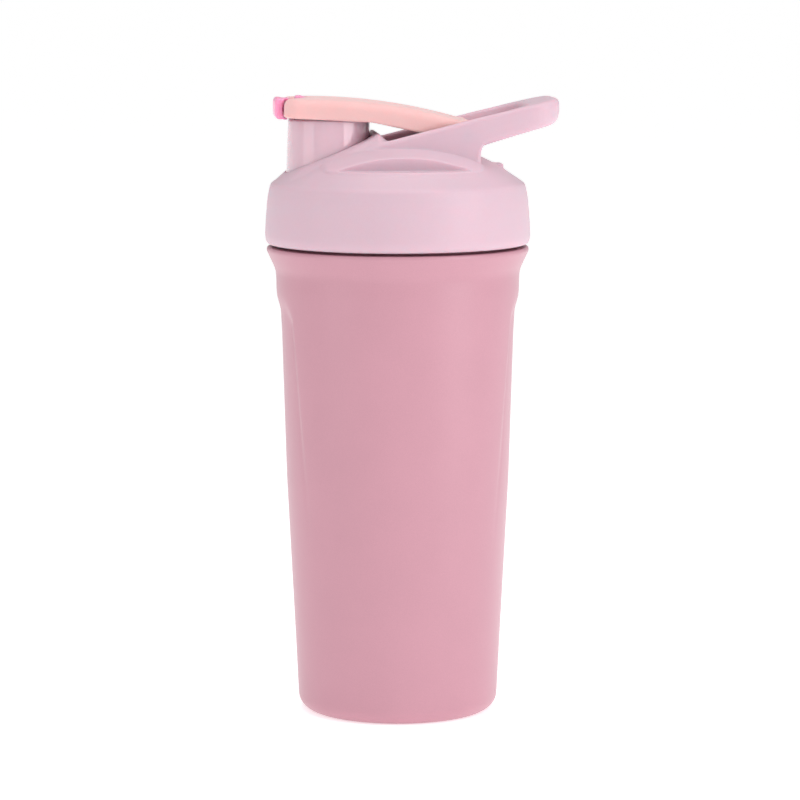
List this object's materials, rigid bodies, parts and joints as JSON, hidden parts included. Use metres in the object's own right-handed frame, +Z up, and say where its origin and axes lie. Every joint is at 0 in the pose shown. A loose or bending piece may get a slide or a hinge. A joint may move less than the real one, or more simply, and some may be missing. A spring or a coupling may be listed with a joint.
{
  "type": "protein shaker bottle",
  "caption": "Insulated steel shaker with a tapered double-wall body, screw lid, spout, push-button flip cap, slide lock and a fixed carry loop.",
  "frame": {"origin": "on the bottle's axis, at the flat underside that it stands on", "axes": "+Z up along the bottle, -X towards the spout and the button, +X towards the carry loop"},
  "size_m": [0.1093, 0.0992, 0.2316],
  "materials": {
    "powder_coat": "satin powder coat with a very fine grain",
    "bare_steel": "brushed stainless steel",
    "solder_glass": "dull fused solder glass",
    "base_silicone": "matte",
    "polished_wire": "polished stainless wire",
    "lid_plastic": "satin moulded plastic",
    "spout_plastic": "polished moulded plastic",
    "seal_silicone": "translucent white silicone",
    "cap_soft_touch": "soft-touch overmould",
    "accent_plastic": "semi-gloss moulded plastic"
  },
  "bodies": {
    "bottle": {"outer_shell": "powder_coat", "inner_liner": "bare_steel", "bottom_plate": "bare_steel", "vacuum_seal_bead": "solder_glass", "getter_disc": "bare_steel", "base_pad": "base_silicone"},
    "whisk": {"whisk_ball": "polished_wire"},
    "lid_seat": {"lid_gasket": "seal_silicone"},
    "lid": {"lid_shell": "lid_plastic", "lid_core": "spout_plastic", "hinge_pin": "polished_wire", "cap_spring": "polished_wire"},
    "cap": {"flip_cap": "cap_soft_touch", "cap_inner": "spout_plastic", "spout_seal": "seal_silicone", "button_pin": "polished_wire", "button_spring": "polished_wire"},
    "button": {"release_button": "accent_plastic"},
    "lock": {"lock_slider": "accent_plastic"}
  },
  "joints": [
    {"name": "whisk_rise", "type": "slide", "parent": "bottle", "child": "whisk", "axis": [0, 0, 1], "range_m": [0, 0.1]},
    {"name": "lid_lift", "type": "slide", "parent": "bottle", "child": "lid_seat", "axis": [0, 0, 1], "range_m": [0, 0.0221]},
    {"name": "lid_turn", "type": "hinge", "parent": "lid_seat", "child": "lid", "pos_m": [0, 0, 0.1868], "axis": [0, 0, 1], "range_deg": [0, 1440]},
    {"name": "cap_flip", "type": "hinge", "parent": "lid", "child": "cap", "pos_m": [0.024, 0, 0.2172], "axis": [0, 1, 0], "range_deg": [0, 118]},
    {"name": "button_press", "type": "hinge", "parent": "cap", "child": "button", "pos_m": [-0.0412, 0, 0.227], "axis": [0, 1, 0], "range_deg": [0, 12], "stiffness_Nm_per_rad": 0.05},
    {"name": "lock_slide", "type": "slide", "parent": "cap", "child": "lock", "axis": [1, 0, 0], "range_m": [-0.002, 0]}
  ],
  "couplings": [
    {"joint": "lid_lift", "follows": "lid_turn", "m_per_rad": 0.00087535}
  ]
}
